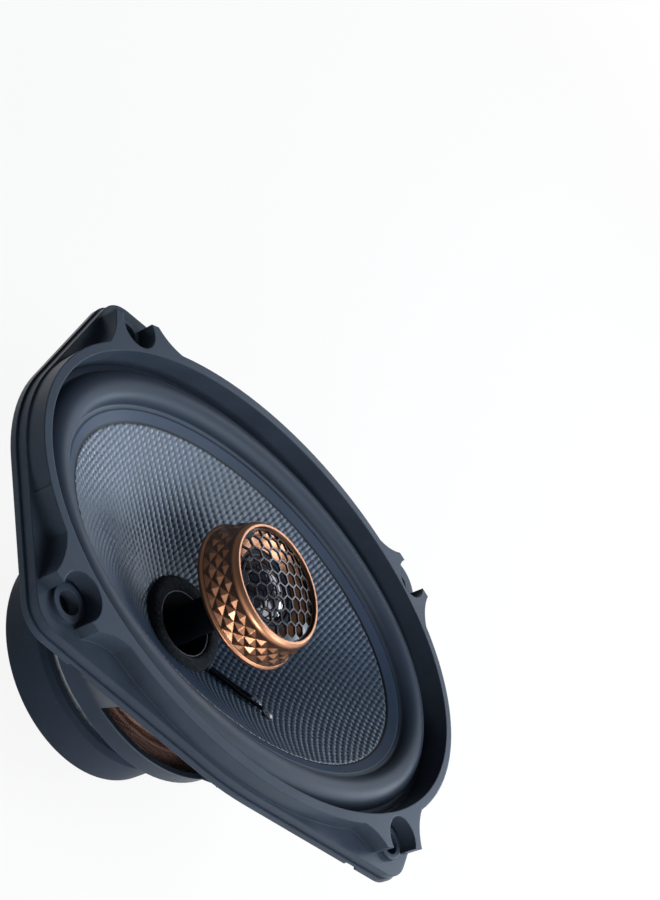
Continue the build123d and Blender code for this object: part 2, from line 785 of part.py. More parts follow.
edge_inner = tweeter_coil_outer + cone_gap
edge_roll_outer = cup_radius + edge_sheet
edge_roll_middle = (edge_inner + edge_roll_outer) / 2
edge_outer = cup_radius + edge_land
edge_top_z = cup_top_z + edge_sheet
with BuildPart() as tweeter_surround:
    with BuildSketch(Plane.XZ):
        with BuildLine():
            Line((edge_inner, cup_top_z), (edge_inner + edge_sheet, cup_top_z))
            ThreePointArc(
                (edge_inner + edge_sheet, cup_top_z),
                (edge_roll_middle, cup_top_z + edge_roll - edge_sheet),
                (edge_roll_outer - edge_sheet, cup_top_z),
            )
            Polyline(
                (edge_roll_outer - edge_sheet, cup_top_z),
                (edge_outer, cup_top_z),
                (edge_outer, edge_top_z),
                (edge_roll_outer, edge_top_z),
            )
            ThreePointArc(
                (edge_roll_outer, edge_top_z),
                (edge_roll_middle, cup_top_z + edge_roll),
                (edge_inner, edge_top_z),
            )
            Line((edge_inner, edge_top_z), (edge_inner, cup_top_z))
        make_face()
    revolve(axis=Axis.Z)
finish(tweeter_surround, "tweeter_surround")

funnel_inner = edge_outer + seat_gap / 2
funnel_outer = pod_mouth_radius - seat_gap / 2
funnel_top_z = cup_top_z + funnel_rise
with BuildPart() as waveguide_ring:
    add_turned(
        [
            (funnel_inner, cup_top_z),
            (cup_flange_radius, cup_top_z),
            (funnel_outer, funnel_top_z - funnel_sheet),
            (funnel_outer, funnel_top_z),
            (funnel_outer - guard_rim, funnel_top_z),
            (funnel_inner, cup_top_z + funnel_sheet),
        ]
    )
finish(waveguide_ring, "waveguide_ring")

guard_sphere = (funnel_outer**2 + guard_crown**2) / (2 * guard_crown)
with BuildPart() as pod_grille:
    with BuildSketch(Plane.XZ):
        with BuildLine():
            top = funnel_top_z + guard_sheet + guard_crown
            centre = top - guard_sphere
            under = guard_sphere - guard_sheet
            half = math.asin(funnel_outer / guard_sphere) / 2
            ThreePointArc(
                (0, top),
                (guard_sphere * math.sin(half), centre + guard_sphere * math.cos(half)),
                (funnel_outer, funnel_top_z + guard_sheet),
            )
            Polyline(
                (funnel_outer, funnel_top_z + guard_sheet),
                (funnel_outer, funnel_top_z),
                (funnel_outer - guard_rim, funnel_top_z),
            )
            ThreePointArc(
                (funnel_outer - guard_rim, funnel_top_z),
                (under * math.sin(half), centre + under * math.cos(half)),
                (0, top - guard_sheet),
            )
            Line((0, top - guard_sheet), (0, top))
        make_face()
    revolve(axis=Axis.Z)
    cell_pitch = guard_cell + guard_wire
    cell_rows = 2 * math.ceil(funnel_outer / cell_pitch) + 1
    cells = HexLocations(cell_pitch / 2, cell_rows, cell_rows).local_locations
    open_cells = [cell for cell in cells if cell.position.length < funnel_outer - guard_rim]
    with BuildSketch(Plane.XY.offset(funnel_top_z)):
        with Locations(*open_cells):
            RegularPolygon(guard_cell / 2, 6, major_radius=False)
        Circle(funnel_outer - guard_rim, mode=Mode.INTERSECT)
    extrude(amount=guard_crown + 2 * guard_sheet, mode=Mode.SUBTRACT)
finish(pod_grille, "pod_grille")

# ---- terminals ----------------------------------------------------------------------
board_plane = terminal_plane.offset(board_pad_reach)
board_face = board_plane.offset(board_sheet)
board_low = basket_ledge_z - basket_sheet - basket_cup_top_z
with BuildPart() as terminal_board:
    with BuildSketch(board_plane):
        with Locations((0, board_low)):
            Rectangle(board_width, board_height, align=(Align.CENTER, Align.MIN))
    extrude(amount=board_sheet)
    with BuildSketch(board_face):
        with Locations((0, board_low + pad_height / 2)):
            with GridLocations(board_rivet_spacing, 0, 2, 1):
                Circle(board_rivet_radius)
    extrude(amount=-board_sheet, mode=Mode.SUBTRACT)
finish(terminal_board, "terminal_board")

with BuildPart() as board_rivets:
    with BuildSketch(board_face):
        with Locations((0, board_low + pad_height / 2)):
            with GridLocations(board_rivet_spacing, 0, 2, 1):
                Circle(board_rivet_head_radius)
    extrude(amount=board_rivet_head_height)
    with BuildSketch(board_face):
        with Locations((0, board_low + pad_height / 2)):
            with GridLocations(board_rivet_spacing, 0, 2, 1):
                Circle(board_rivet_radius)
    extrude(amount=-board_sheet - board_pad_reach)
finish(board_rivets, "board_rivets")

blade_y = board_low + board_height - blade_edge_margin
blades = (
    ("terminal_positive", -blade_spacing / 2, positive_blade_width),
    ("terminal_negative", blade_spacing / 2, negative_blade_width),
)
for name, blade_x, blade_width in blades:
    with BuildPart() as terminal:
        with BuildSketch(board_face):
            with Locations((blade_x, blade_y)):
                Rectangle(blade_width, blade_foot)
        extrude(amount=blade_sheet)
        with BuildSketch(board_face):
            with Locations((blade_x, blade_y + blade_foot / 2 - blade_sheet / 2)):
                Rectangle(blade_width, blade_sheet)
        extrude(amount=blade_length)
    finish(terminal, name)

capacitor_end = (-capacitor_length / 2, board_low + capacitor_radius, capacitor_radius)
capacitor_plane = Plane(origin=board_face.from_local_coords(capacitor_end), z_dir=board_face.x_dir)
with BuildPart() as crossover_capacitor:
    with BuildSketch(capacitor_plane):
        Circle(capacitor_radius)
    extrude(amount=capacitor_length)
    fillet(crossover_capacitor.edges(), capacitor_round)
finish(crossover_capacitor, "crossover_capacitor")

os.makedirs("parts", exist_ok=True)
for name, part in parts:
    export_step(part, f"parts/{name}.step")
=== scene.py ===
import json
import math
import bpy
import numpy as np
from mathutils import Matrix, Vector


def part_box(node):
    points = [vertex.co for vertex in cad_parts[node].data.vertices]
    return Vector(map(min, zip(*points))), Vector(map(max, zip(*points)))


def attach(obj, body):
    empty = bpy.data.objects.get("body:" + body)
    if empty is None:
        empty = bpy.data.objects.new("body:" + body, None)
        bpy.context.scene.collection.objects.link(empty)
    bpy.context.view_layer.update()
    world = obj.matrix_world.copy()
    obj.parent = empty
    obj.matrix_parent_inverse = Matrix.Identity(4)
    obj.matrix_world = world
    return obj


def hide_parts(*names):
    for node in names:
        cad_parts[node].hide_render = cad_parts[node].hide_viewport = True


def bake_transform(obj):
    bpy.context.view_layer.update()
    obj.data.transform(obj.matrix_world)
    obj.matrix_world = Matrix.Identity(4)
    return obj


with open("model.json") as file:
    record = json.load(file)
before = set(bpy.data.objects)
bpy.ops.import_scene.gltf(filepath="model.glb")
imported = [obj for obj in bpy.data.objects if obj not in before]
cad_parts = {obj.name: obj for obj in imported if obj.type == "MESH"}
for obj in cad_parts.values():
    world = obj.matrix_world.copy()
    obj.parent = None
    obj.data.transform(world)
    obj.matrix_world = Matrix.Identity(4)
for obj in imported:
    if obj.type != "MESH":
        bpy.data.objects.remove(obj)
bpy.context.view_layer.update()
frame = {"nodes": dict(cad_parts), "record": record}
nodes = frame["nodes"]
mm = 0.001
print("frame loaded:", len(nodes), "parts")


# mesh helpers
def halfSize(node):  # half widths of a part along X and Y, and its lowest level
    low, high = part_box(node)
    return high.x, high.y, low.z


def placeObject(name, data):
    placed = bpy.data.objects.new(name, data)
    bpy.context.scene.collection.objects.link(placed)
    return placed


def addPiece(name, points, faces, finish):
    mesh = bpy.data.meshes.new(name)
    mesh.from_pydata(points, [], faces)
    mesh.shade_smooth()
    mesh.materials.append(finish)
    piece = placeObject(name, mesh)
    return piece


def addLoopSheet(name, points, finish):
    # points has one row per step of the closed profile and one column per step round the axis
    rows, columns = points.shape[:2]
    index = np.arange(rows * columns).reshape(rows, columns)
    beside = np.roll(index, -1, axis=1)
    above, aboveBeside = np.roll(index, -1, axis=0), np.roll(beside, -1, axis=0)
    faces = np.stack([index, beside, aboveBeside, above], -1).reshape(-1, 4)
    corners = points.reshape(-1, 3)
    first, second, third, fourth = (corners[faces[:, corner]] for corner in range(4))
    volume = np.sum(first * np.cross(second, third)) + np.sum(first * np.cross(third, fourth))
    if volume < 0:  # turn the faces outward
        faces = faces[:, ::-1]
    return addPiece(name, corners.tolist(), faces.tolist(), finish)


def roundAngles(count):
    return np.linspace(0, 2 * math.pi, count, endpoint=False)


def arcPoints(centreX, centreY, radius, startDeg, endDeg, count):
    turn = np.radians(np.linspace(startDeg, endDeg, count))
    return np.stack([centreX + radius * np.cos(turn), centreY + radius * np.sin(turn)], -1)


def turnProfile(profile, count):  # profile rows are (radius, height)
    angle = roundAngles(count)
    radius = profile[:, 0][:, None]
    height = np.repeat(profile[:, 1][:, None], count, axis=1)
    return np.stack([radius * np.cos(angle), radius * np.sin(angle), height], -1)


def blendRound(reach):
    # reach runs from 0 at the cone's end to 1 at the frame's; it is only clipped to that range and
    # nothing is blended with it
    reach = np.clip(reach, 0, 1)


# node helpers
class TreeMaker:
    def __init__(self, tree):
        self.tree = tree

    def add(self, kind, **settings):
        node = self.tree.nodes.new(kind)
        for key, value in settings.items():
            setattr(node, key, value)
        return node

    def link(self, source, target):
        self.tree.links.new(source, target)

    def maths(self, operation, first, second):
        node = self.add("ShaderNodeMath", operation=operation)
        for socket, value in zip(node.inputs, (first, second)):
            if isinstance(value, (int, float)):
                socket.default_value = value
            else:
                self.link(value, socket)
        return node.outputs[0]

    def vectorMaths(self, operation, first, second=None, output="Value"):
        node = self.add("ShaderNodeVectorMath", operation=operation)
        self.link(first, node.inputs[0])
        if second is not None:
            node.inputs[1].default_value = second
        return node.outputs[output]

    def spread(self, value, low, high, fromLow=0.3, fromHigh=0.7, kind="LINEAR"):
        node = self.add("ShaderNodeMapRange", interpolation_type=kind)
        self.link(value, node.inputs["Value"])
        limits = (("From Min", fromLow), ("From Max", fromHigh), ("To Min", low), ("To Max", high))
        for key, number in limits:
            node.inputs[key].default_value = number
        return node.outputs["Result"]

    def fade(self, value, low, high, fromLow, fromHigh):
        return self.spread(value, low, high, fromLow, fromHigh, "SMOOTHSTEP")

    def mixShaders(self, share, first, second):
        node = self.add("ShaderNodeMixShader")
        for socket, source in zip(node.inputs, (share, first, second)):
            self.link(source, socket)
        return node.outputs[0]


class FinishMaker(TreeMaker):
    def __init__(self, name):
        self.finish = bpy.data.materials.new(name)
        self.finish.use_nodes = True
        super().__init__(self.finish.node_tree)
        self.shader = self.tree.nodes["Principled BSDF"]
        self.place = self.add("ShaderNodeTexCoord").outputs["Object"]

    def stretched(self, stretch, turn=(0, 0, 0)):
        mapping = self.add("ShaderNodeMapping")
        self.link(self.place, mapping.inputs["Vector"])
        mapping.inputs["Scale"].default_value = stretch
        mapping.inputs["Rotation"].default_value = turn
        return mapping.outputs["Vector"]

    def noise(self, perMetre, detail=3, roughness=0.55, place=None):
        node = self.add("ShaderNodeTexNoise")
        self.link(place or self.place, node.inputs["Vector"])
        node.inputs["Scale"].default_value = perMetre
        node.inputs["Detail"].default_value = detail
        node.inputs["Roughness"].default_value = roughness
        return node.outputs["Fac"]

    def cells(self, perMetre):
        node = self.add("ShaderNodeTexVoronoi")
        self.link(self.place, node.inputs["Vector"])
        node.inputs["Scale"].default_value = perMetre
        return node.outputs["Distance"]

    def bands(self, direction, scale, distortion=0):
        node = self.add("ShaderNodeTexWave", wave_type="BANDS", bands_direction=direction)
        self.link(self.place, node.inputs["Vector"])
        node.inputs["Scale"].default_value = scale
        node.inputs["Distortion"].default_value = distortion
        return node.outputs["Fac"]

    def blended(self, *parts):  # sum of (value, share) pairs
        scaled = [self.maths("MULTIPLY", value, share) for value, share in parts]
        total = scaled[0]
        for part in scaled[1:]:
            total = self.maths("ADD", total, part)
        return total

    def colours(self, value, *stops):
        node = self.add("ShaderNodeValToRGB")
        self.link(value, node.inputs["Fac"])
        ramp = node.color_ramp
        while len(ramp.elements) < len(stops):
            ramp.elements.new(0.5)
        for element, (position, colour) in zip(ramp.elements, stops):
            element.position = position
            element.color = (*colour, 1)
        return node.outputs["Color"]

    def shades(self, value, colour, *stops):  # each stop is a position and a factor on the colour
        stops = [(position, tinted(colour, factor)) for position, factor in stops]
        return self.colours(value, *stops)

    def twoTone(self, value, look):  # from the dark colour to the light one over the span
        return self.colours(value, *zip(look["span"], (look["dark"], look["light"])))

    def relief(self, height, depth, strength=1.0, under=None):
        node = self.add("ShaderNodeBump")
        self.link(height, node.inputs["Height"])
        node.inputs["Distance"].default_value = depth
        node.inputs["Strength"].default_value = strength
        if under is not None:
            self.link(under, node.inputs["Normal"])
        return node.outputs["Normal"]

    def softEdges(self, radius):
        node = self.add("ShaderNodeBevel", samples=6)
        node.inputs["Radius"].default_value = radius
        return node.outputs["Normal"]

    def set(self, **sockets):
        for key, value in sockets.items():
            socket = self.shader.inputs[key.replace("_", " ")]
            if isinstance(value, bpy.types.NodeSocket):
                self.link(value, socket)
            elif isinstance(value, tuple):
                socket.default_value = (*value, 1)
            else:
                socket.default_value = value


def tinted(colour, factor):
    return tuple(min(1.0, channel * factor) for channel in colour)


# moulded plastic
coolSheen = (0.76, 0.88, 1.0)  # tint of the gloss on the dark plastics, paint, rubber and weave
plainPlastic = {
    "cloudPerMetre": 60,
    "cloudShare": 0.7,
    "grain": 1500,
    "grainShare": 0.3,
    "dark": (0.35, 0.86),  # position on the ramp and factor on the colour
    "light": (0.65, 1.14),
    "rough": (0.4, 0.5),
    "gloss": 0.15,
    "depth": 0.02 * mm,
}
mouldedPlastic = {  # what differs from the plain one
    "trim": {
        "colour": (0.036, 0.05, 0.074),
        "rough": (0.36, 0.46),
        "gloss": 0.12,
        "edge": 0.7 * mm,
    },
    "boot": {
        "colour": (0.024, 0.035, 0.056),
        "rough": (0.46, 0.56),
        "gloss": 0.1,
        "grain": 1200,
        "edge": 0.8 * mm,
    },
    "post": {"colour": (0.004, 0.005, 0.008), "edge": 0.4 * mm},
    "band": {"colour": (0.027, 0.043, 0.076), "grain": 2200, "edge": 0.3 * mm},
}


def startMoulded(name):
    look = {**plainPlastic, **mouldedPlastic[name]}
    maker = FinishMaker(name + "Moulded")
    cloud = maker.noise(look["cloudPerMetre"], 4)
    grain = maker.noise(look["grain"], 2, 0.6)
    tone = maker.blended((cloud, look["cloudShare"]), (grain, look["grainShare"]))
    maker.set(
        Base_Color=maker.shades(tone, look["colour"], look["dark"], look["light"]),
        Roughness=maker.spread(cloud, *look["rough"]),
        Specular_IOR_Level=look["gloss"],
        Specular_Tint=coolSheen,
        Normal=maker.relief(grain, look["depth"], 1.0, maker.softEdges(look["edge"])),
    )
    return maker


def makeMoulded(name):
    return startMoulded(name).finish


# painted shade: a dark line in the groove against the weave starts and ends at these shares of the
# weave's half widths
grooveShadeLine = {"start": 1.006, "end": 1.011, "dark": 0.04}


def makeConeFilm():  # the bare band of the cone, with a painted dark line of shade in the groove against the weave
    look = grooveShadeLine
    maker = startMoulded("band")
    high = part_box("cone_skin")[1]
    scaled = maker.vectorMaths("MULTIPLY", maker.place, (1 / high.x, 1 / high.y, 0), "Vector")
    reach = maker.vectorMaths("LENGTH", scaled)
    # painted shade: the band's colour is darkened in a thin ring just outside the weave's edge
    line = maker.spread(reach, look["dark"], 1, look["start"], look["end"])
    mix = maker.add("ShaderNodeMix", data_type="RGBA", blend_type="MULTIPLY")
    mix.inputs[0].default_value = 1.0
    maker.link(maker.shader.inputs["Base Color"].links[0].from_socket, mix.inputs[6])
    maker.link(line, mix.inputs[7])
    maker.set(Base_Color=mix.outputs[2])
    return maker.finish


# paint and rubber
paintedSteel = {
    "colour": (0.021, 0.033, 0.054),
    "cloudPerMetre": 45,
    "dark": (0.35, 0.85),
    "light": (0.65, 1.2),
    "rough": (0.34, 0.44),
    "peel": 900,
    "depth": 0.02 * mm,
    "strength": 0.6,
    "edge": 0.6 * mm,
    "gloss": 0.2,
}


def makePaintedSteel():
    look = paintedSteel
    maker = FinishMaker("paintedSteel")
    cloud = maker.noise(look["cloudPerMetre"], 3)
    peel = maker.noise(look["peel"], 2, 0.4)
    maker.set(
        Base_Color=maker.shades(cloud, look["colour"], look["dark"], look["light"]),
        Roughness=maker.spread(peel, *look["rough"]),
        Normal=maker.relief(peel, look["depth"], look["strength"], maker.softEdges(look["edge"])),
        Specular_IOR_Level=look["gloss"],
        Specular_Tint=coolSheen,
    )
    return maker.finish


rubber = {
    "colour": (0.02, 0.03, 0.05),
    "cloudPerMetre": 35,
    "dark": (0.3, 0.88),
    "light": (0.7, 1.14),
    "rough": (0.44, 0.52),
    "grain": 2600,
    "depth": 0.012 * mm,
    "gloss": 0.25,
    "sheen": 0.04,
    "sheenRough": 0.4,
}


def makeRubber():
    look = rubber
    maker = FinishMaker("satinRubber")
    cloud = maker.noise(look["cloudPerMetre"], 3)
    grain = maker.noise(look["grain"], 2)
    maker.set(
        Base_Color=maker.shades(cloud, look["colour"], look["dark"], look["light"]),
        Roughness=maker.spread(cloud, *look["rough"]),
        Normal=maker.relief(grain, look["depth"]),
        Specular_IOR_Level=look["gloss"],
        Specular_Tint=coolSheen,
        Sheen_Weight=look["sheen"],
        Sheen_Roughness=look["sheenRough"],
    )
    return maker.finish


# metals
plainMetal = {
    "cloudPerMetre": 80,
    "dark": (0.3, 0.88),
    "light": (0.7, 1.1),
    "rough": (0.25, 0.4),
    "metal": 1.0,
    "grain": 1500,
    "depth": 0.01 * mm,
    "edge": 0.2 * mm,
}
metals = {  # what differs from the plain one
    "rose": {
        "colour": (0.42, 0.205, 0.12),
        "rough": (0.27, 0.38),
        "grain": 2200,
        "depth": 0.02 * mm,
        "edge": 0.5 * mm,
    },
    "zinc": {"colour": (0.42, 0.47, 0.52), "rough": (0.28, 0.42), "grain": 700, "edge": 0.5 * mm},
    "darkSteel": {"colour": (0.1, 0.1, 0.11), "rough": (0.3, 0.42), "grain": 700, "edge": 0.4 * mm},
    "guard": {
        "colour": (0.065, 0.068, 0.078),
        "rough": (0.2, 0.3),
        "metal": 0.85,
        "depth": 0.005 * mm,
        "edge": 0.15 * mm,
    },
    "solder": {"colour": (0.3, 0.31, 0.34), "rough": (0.3, 0.42), "metal": 0.9, "depth": 0.02 * mm},
    "silver": {"colour": (0.72, 0.73, 0.75), "rough": (0.2, 0.32)},
    "coilFilm": {"colour": (0.05, 0.053, 0.06), "rough": (0.4, 0.5), "metal": 0.7, "grain": 700},
    "brass": {"colour": (0.7, 0.55, 0.3)},
    "tinned": {"colour": (0.68, 0.66, 0.58)},
    "ferrite": {
        "colour": (0.03, 0.03, 0.034),
        "rough": (0.55, 0.7),
        "metal": 0.1,
        "grain": 1100,
        "depth": 0.06 * mm,
        "edge": 0.4 * mm,
    },
}


def makeMetal(name):
    look = {**plainMetal, **metals[name]}
    maker = FinishMaker(name + "Metal")
    cloud = maker.noise(look["cloudPerMetre"], 4)
    grain = maker.noise(look["grain"], 3, 0.6)
    maker.set(
        Base_Color=maker.shades(cloud, look["colour"], look["dark"], look["light"]),
        Roughness=maker.spread(grain, *look["rough"]),
        Metallic=look["metal"],
        Normal=maker.relief(grain, look["depth"], 1.0, maker.softEdges(look["edge"])),
    )
    return maker.finish


# cloth, felt and films
wovenThread = {
    "pitch": 2.29 * mm,
    "turn": -20.3,  # degrees from the long axis
    "colour": (0.025, 0.042, 0.075),
    # painted shade between the threads and a painted highlight on their crests, set by thread height
    "gapShade": (0.4, 0.15),
    "sides": (0.64, 1),
    "crestHighlight": (0.86, 1.7),
    "cloudPerMetre": 30,
    "cloudShare": 0.3,
    "strandsPerMetre": 1700,
    "strandStretch": (1, 0.25, 0.25),
    "strandShare": 0.3,
    "heightShare": 0.55,
    "rough": (0.32, 0.44),
    "depth": 0.03 * mm,
    "strength": 0.7,
    "gloss": 0.55,
    "coat": 0.1,
    "coatRough": 0.35,
}


def makeWovenFinish():
    look = wovenThread
    maker = FinishMaker("wovenFibre")
    along = maker.stretched(look["strandStretch"], (0, 0, math.radians(-look["turn"])))
    cloud = maker.noise(look["cloudPerMetre"], 3)
    strands = maker.noise(look["strandsPerMetre"], 2, 0.6, along)
    # thread height paints shade into the colour between threads and a highlight onto their crests
    height = maker.add("ShaderNodeAttribute", attribute_name="threadHeight").outputs["Fac"]
    tone = maker.blended(
        (cloud, look["cloudShare"]),
        (strands, look["strandShare"]),
        (height, look["heightShare"]),
    )
    maker.set(
        Base_Color=maker.shades(tone, look["colour"], look["gapShade"], look["sides"], look["crestHighlight"]),
        Roughness=maker.spread(strands, *look["rough"]),
        Normal=maker.relief(strands, look["depth"], look["strength"]),
        Specular_IOR_Level=look["gloss"],
        Specular_Tint=coolSheen,
        Coat_Weight=look["coat"],
        Coat_Roughness=look["coatRough"],
    )
    return maker.finish


blackFelt = {
    "fuzzPerMetre": 1500,
    "fuzzDepth": 0.2 * mm,
    "strength": 0.9,
    "cloudPerMetre": 700,
    "span": (0.35, 0.7),
    "dark": (0.005, 0.007, 0.01),
    "light": (0.02, 0.026, 0.034),
    "rough": 0.85,
    "gloss": 0.1,
    "sheen": 0.08,
}


def makeFelt():
    look = blackFelt
    maker = FinishMaker("blackFelt")
    fuzz = maker.cells(look["fuzzPerMetre"])
    cloud = maker.noise(look["cloudPerMetre"], 4, 0.7)
    maker.set(
        Base_Color=maker.twoTone(cloud, look),
        Roughness=look["rough"],
        Normal=maker.relief(fuzz, look["fuzzDepth"], look["strength"]),
        Specular_IOR_Level=look["gloss"],
        Sheen_Weight=look["sheen"],
    )
    return maker.finish


spiderWeave = {
    "threadScale": 1900 / 6.28,
    "distortion": 0.4,
    "span": (0.1, 0.5),
    "dark": (0.56, 0.27, 0.2),
    "light": (0.97, 0.6, 0.48),
    "cloudPerMetre": 120,
    "weaveShare": 0.7,
    "cloudShare": 0.3,
    "depth": 0.18 * mm,
    "strength": 0.9,
    "rough": 0.75,
    "sheen": 0.15,
}


def makeSpiderCloth():
    look = spiderWeave
    maker = FinishMaker("spiderCloth")
    across = maker.bands("X", look["threadScale"], look["distortion"])
    along = maker.bands("Y", look["threadScale"], look["distortion"])
    weave = maker.maths("MULTIPLY", across, along)
    cloud = maker.noise(look["cloudPerMetre"], 3)
    tone = maker.blended((weave, look["weaveShare"]), (cloud, look["cloudShare"]))
    maker.set(
        Base_Color=maker.twoTone(tone, look),
        Roughness=look["rough"],
        Normal=maker.relief(weave, look["depth"], look["strength"]),
        Sheen_Weight=look["sheen"],
    )
    return maker.finish


domeFilm = {
    "span": (0.3, 0.7),
    "dark": (0.003, 0.005, 0.016),
    "light": (0.006, 0.01, 0.03),
    "cloudPerMetre": 160,
    "rough": (0.1, 0.16),
    "gloss": 0.4,
    "coat": 0.5,
    "coatRough": 0.05,
}


def makeDomeFilm():
    look = domeFilm
    maker = FinishMaker("domeFilm")
    cloud = maker.noise(look["cloudPerMetre"], 2)
    maker.set(
        Base_Color=maker.twoTone(cloud, look),
        Roughness=maker.spread(cloud, *look["rough"]),
        Specular_IOR_Level=look["gloss"],
        Coat_Weight=look["coat"],
        Coat_Roughness=look["coatRough"],
    )
    return maker.finish


laminate = {
    "fibresPerMetre": 900,
    "fibreStretch": (0.3, 1, 1),
    "span": (0.3, 0.7),
    "dark": (0.13, 0.075, 0.04),
    "light": (0.22, 0.14, 0.08),
    "rough": (0.4, 0.55),
    "depth": 0.03 * mm,
    "edge": 0.2 * mm,
}


def makeLaminate():
    look = laminate
    maker = FinishMaker("boardLaminate")
    fibres = maker.noise(look["fibresPerMetre"], 3, 0.6, maker.stretched(look["fibreStretch"]))
    maker.set(
        Base_Color=maker.twoTone(fibres, look),
        Roughness=maker.spread(fibres, *look["rough"]),
        Normal=maker.relief(fibres, look["depth"], 1.0, maker.softEdges(look["edge"])),
    )
    return maker.finish


sleeve = {
    "span": (0.3, 0.7),
    "dark": (0.012, 0.03, 0.12),
    "light": (0.02, 0.045, 0.17),
    "cloudPerMetre": 200,
    "rough": (0.2, 0.3),
    "coat": 0.5,
    "coatRough": 0.1,
}


def makeSleeve():
    look = sleeve
    maker = FinishMaker("capacitorSleeve")
    cloud = maker.noise(look["cloudPerMetre"], 3)
    maker.set(
        Base_Color=maker.twoTone(cloud, look),
        Roughness=maker.spread(cloud, *look["rough"]),
        Coat_Weight=look["coat"],
        Coat_Roughness=look["coatRough"],
    )
    return maker.finish


coilWire = {
    "colour": (0.6, 0.3, 0.16),
    "dark": (0.1, 0.35),
    "light": (0.6, 1),
    "turnScale": 700,
    "rough": (0.45, 0.28),
    "depth": 0.1 * mm,
    "strength": 0.8,
}


def makeCoilWire():
    look = coilWire
    maker = FinishMaker("coilWire")
    turns = maker.bands("Z", look["turnScale"])
    maker.set(
        Base_Color=maker.shades(turns, look["colour"], look["dark"], look["light"]),
        Roughness=maker.spread(turns, *look["rough"], 0, 1),
        Metallic=1.0,
        Normal=maker.relief(turns, look["depth"], look["strength"]),
    )
    return maker.finish


finishes = {
    "trim_plastic": makeMoulded("trim"),
    "boot_plastic": makeMoulded("boot"),
    "post_plastic": makeMoulded("post"),
    "lead_sleeve": makeMoulded("post"),
    "cone_film": makeConeFilm(),
    "frame_paint": makePaintedSteel(),
    "rubber": makeRubber(),
    "rose_metal": makeMetal("rose"),
    "zinc_steel": makeMetal("zinc"),
    "dark_steel": makeMetal("darkSteel"),
    "guard_wire": makeMetal("guard"),
    "eyelet_metal": makeMetal("solder"),
    "neodymium": makeMetal("silver"),
    "coil_film": makeMetal("coilFilm"),
    "brass_rivet": makeMetal("brass"),
    "tinned_brass": makeMetal("tinned"),
    "ferrite": makeMetal("ferrite"),
    "woven_skin": makeWovenFinish(),
    "felt": makeFelt(),
    "spider_cloth": makeSpiderCloth(),
    "dome_film": makeDomeFilm(),
    "board_laminate": makeLaminate(),
    "capacitor_sleeve": makeSleeve(),
    "copper_wire": makeCoilWire(),
}
slotOfNode = {row["node"]: row["material_slot"] for row in frame["record"]["subparts"]}
for nodeName, node in nodes.items():
    node.data.materials.clear()
    node.data.materials.append(finishes[slotOfNode[nodeName]])
print("finishes made:", len(finishes))


# the cone's face, shared by the woven skin, the felt and the solder
neckRadius = halfSize("voice_coil_former")[0]
weaveX, weaveY = halfSize("cone_skin")[:2]
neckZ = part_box("cone")[0].z
coneSheet = 1.1 * mm
skinSheet = 0.5 * mm
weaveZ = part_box("cone_skin")[1].z - coneSheet - skinSheet


def coneOval(share):
    # half widths and height of the face: share runs from 0 at the neck to 1 at the weave's edge
    halfX = neckRadius + share * (weaveX - neckRadius)
    halfY = neckRadius + share * (weaveY - neckRadius)
    return halfX, halfY, neckZ + share * (weaveZ - neckZ)


def conePoint(angle, share, lift):
    halfX, halfY, height = coneOval(share)
    return np.stack([halfX * np.cos(angle), halfY * np.sin(angle), height + lift + 0 * angle], -1)


# woven skin of the cone
wovenSkin = {
    "round": 1280,  # steps round the axis
    "rows": 150,
    "relief": 0.5 * mm,
    "wave": 0.5,  # share of the up-and-down run of a thread, the rest is its round body
    "threadWidth": 0.74,  # share of the pitch
    "collarLap": 0.3 * mm,
    "edge": 1.2 * mm,
    "edgeSink": 0.12 * mm,
    "backSink": 0.2 * mm,
}


def weaveHeight(x, y):
    # plain weave seen from above: 1 on top of a thread that passes over, 0 between threads
    look = wovenSkin
    turn, pitch = math.radians(wovenThread["turn"]), wovenThread["pitch"]
    u = (x * math.cos(turn) + y * math.sin(turn)) / pitch
    v = (-x * math.sin(turn) + y * math.cos(turn)) / pitch
    uCell, vCell = np.floor(u), np.floor(v)

    def thread(run, runSign, side):  # run along the thread, side across it from its middle
        body = np.sqrt(np.clip(1 - (2 * side / look["threadWidth"]) ** 2, 0, 1))
        return look["wave"] * runSign * np.cos(math.pi * (run - 0.5)) + (1 - look["wave"]) * body

    warp = thread(v, 1 - 2 * np.mod(uCell, 2), u - uCell - 0.5)
    weft = thread(u, 2 * np.mod(vCell, 2) - 1, v - vCell - 0.5)
    return np.clip(np.maximum(warp, weft), 0, 1)


def makeWovenSkin():
    look = wovenSkin
    width = weaveX - neckRadius
    innerShare = (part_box("neck_collar")[1].y - look["collarLap"] - neckRadius) / width
    share, angle = np.meshgrid(
        np.linspace(innerShare, 1, look["rows"]), roundAngles(look["round"]), indexing="ij"
    )
    base = conePoint(angle, share, coneSheet + skinSheet - look["relief"])
    rise = weaveHeight(base[..., 0], base[..., 1])
    # the weave is pressed down into the glue at its outer edge
    fade = np.clip((1 - share) * width / look["edge"], 0, 1) ** 0.5
    base[..., 2] += rise * look["relief"] * fade - look["edgeSink"] * (1 - fade)
    under = conePoint(angle[[0, -1]], share[[-1, 0]], coneSheet - look["backSink"])
    points = np.concatenate([base, under])
    skin = addLoopSheet("wovenCone", points, finishes["woven_skin"])
    # this height carries the weave colour's painted shade and painted highlight
    height = np.concatenate([rise * fade, 0 * rise[:2]]).ravel().astype(np.float32)
    skin.data.attributes.new("threadHeight", "FLOAT", "POINT").data.foreach_set("value", height)
    return skin


wovenCone = makeWovenSkin()
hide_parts("cone_skin")
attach(wovenCone, "cone_assembly")
print("woven cone made")

# rubber half roll
rollShape = {
    "round": 480,
    "arcSteps": 30,
    "halfWidth": 6.2 * mm,
    "height": 6.0 * mm,
    "sheet": 0.9 * mm,
    "foot": 3.2 * mm,
    "footEdge": 0.3 * mm,
    "lip": 1.45 * mm,
    "lipLow": 0.45 * mm,  # how far the lip's underside is above the foot's
    "lipThick": 0.24 * mm,
    "rounding": 0.1 * mm,  # the small corners of the foot and the lip are multiples of it
}


